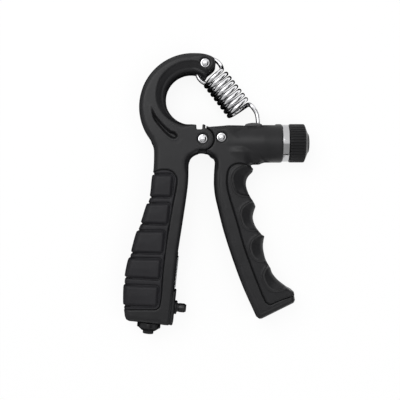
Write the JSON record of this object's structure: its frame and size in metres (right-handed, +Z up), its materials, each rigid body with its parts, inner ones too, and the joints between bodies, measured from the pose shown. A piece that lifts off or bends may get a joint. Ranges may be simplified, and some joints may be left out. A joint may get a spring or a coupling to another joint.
{
  "type": "hand grip strengthener",
  "caption": "Adjustable hand grip trainer: two hinged handles with rubber grips, a coil tension spring, a screw resistance knob and a press counter.",
  "frame": {"origin": "middle of the object's box, on the surface it lies on", "axes": "+Y along the handles towards the hook, +X towards the adjusting knob, +Z up through the thickness"},
  "size_m": [0.1104, 0.1672, 0.023],
  "materials": {
    "handle_plastic": "fine satin moulded texture",
    "palm_rubber": "soft matte overmould",
    "finger_rubber": "soft matte overmould",
    "trim_plastic": "satin",
    "knob_plastic": "satin, ribbed",
    "plunger_plastic": "glossy",
    "chrome": "polished",
    "spring_chrome": "polished plated wire",
    "steel": "turned",
    "nylon": "natural",
    "grey_nylon": "satin",
    "number_white": "printed number wheel",
    "clear_lens": "clear moulded acrylic"
  },
  "bodies": {
    "left": {"left_handle": "handle_plastic", "palm_grip": "palm_rubber", "pivot_pin": "chrome", "pivot_washers": "nylon", "spring_pin": "chrome", "counter_frame": "nylon", "counter_bezel": "trim_plastic", "counter_lens": "clear_lens", "transfer_pinions": "nylon", "pinion_rod": "steel", "plunger_bush": "trim_plastic", "plunger_spring": "steel"},
    "right": {"right_handle": "handle_plastic", "finger_grip": "finger_rubber", "screw_bearing": "nylon", "bearing_pin": "chrome", "end_ring": "chrome"},
    "adjuster": {"lead_screw": "steel", "retaining_clip": "steel", "thrust_washer": "steel", "adjust_knob": "knob_plastic", "knob_screw": "steel", "knob_cap": "knob_plastic"},
    "slider_block": {"slider": "grey_nylon", "slider_pin": "steel"},
    "spring": {"tension_spring": "spring_chrome"},
    "plunger_set": {"plunger": "plunger_plastic", "drive_pawl": "steel"},
    "reset_set": {"reset_knob": "trim_plastic", "reset_gear": "steel"},
    "wheel_shaft": {"counter_shaft": "steel"},
    "units": {"units_wheel": "number_white"},
    "tens": {"tens_wheel": "number_white"},
    "hundreds": {"hundreds_wheel": "number_white"},
    "thousands": {"thousands_wheel": "number_white"}
  },
  "joints": [
    {"name": "squeeze", "type": "hinge", "parent": "left", "child": "right", "pos_m": [-0.00816, 0.03268, 0.0115], "axis": [0, 0, -1], "range_deg": [0, 21.5], "stiffness_Nm_per_rad": 12, "springref_deg": -22.35, "deforming": ["tension_spring"]},
    {"name": "spring_swing", "type": "hinge", "parent": "left", "child": "spring", "pos_m": [-0.00676, 0.07728, 0.0115], "axis": [0, 0, -1], "range_deg": [0, 7.1]},
    {"name": "knob_turn", "type": "hinge", "parent": "right", "child": "adjuster", "pos_m": [0.04684, 0.03068, 0.0115], "axis": [-1, 0, 0], "range_deg": [-1560, 1800]},
    {"name": "slider_travel", "type": "slide", "parent": "right", "child": "slider_block", "axis": [1, 0, 0], "range_m": [-0.00651, 0.00751]},
    {"name": "plunger_press", "type": "slide", "parent": "left", "child": "plunger_set", "axis": [-0.9945, 0.1045, 0], "range_m": [0, 0.0035], "stiffness_N_per_m": 600, "springref_m": -0.002, "deforming": ["plunger_spring"]},
    {"name": "reset_turn", "type": "hinge", "parent": "left", "child": "reset_set", "pos_m": [-0.03918, -0.06604, 0.0115], "axis": [0.1045, 0.9945, 0], "continuous": true},
    {"name": "wheel_shaft_turn", "type": "hinge", "parent": "left", "child": "wheel_shaft", "pos_m": [-0.03401, -0.06658, 0.0115], "axis": [0.1045, 0.9945, 0], "continuous": true},
    {"name": "units_turn", "type": "hinge", "parent": "left", "child": "units", "pos_m": [-0.03401, -0.06658, 0.0115], "axis": [0.1045, 0.9945, 0], "continuous": true},
    {"name": "tens_turn", "type": "hinge", "parent": "left", "child": "tens", "pos_m": [-0.03401, -0.06658, 0.0115], "axis": [0.1045, 0.9945, 0], "continuous": true},
    {"name": "hundreds_turn", "type": "hinge", "parent": "left", "child": "hundreds", "pos_m": [-0.03401, -0.06658, 0.0115], "axis": [0.1045, 0.9945, 0], "continuous": true},
    {"name": "thousands_turn", "type": "hinge", "parent": "left", "child": "thousands", "pos_m": [-0.03401, -0.06658, 0.0115], "axis": [0.1045, 0.9945, 0], "continuous": true}
  ],
  "couplings": [
    {"joint": "spring_swing", "follows": "squeeze", "ratio": 0.329},
    {"joint": "slider_travel", "follows": "knob_turn", "m_per_rad": 0.00023873},
    {"joint": "wheel_shaft_turn", "follows": "reset_turn", "ratio": -1},
    {"joint": "tens_turn", "follows": "units_turn", "ratio": 0.1},
    {"joint": "hundreds_turn", "follows": "units_turn", "ratio": 0.01},
    {"joint": "thousands_turn", "follows": "units_turn", "ratio": 0.001}
  ]
}
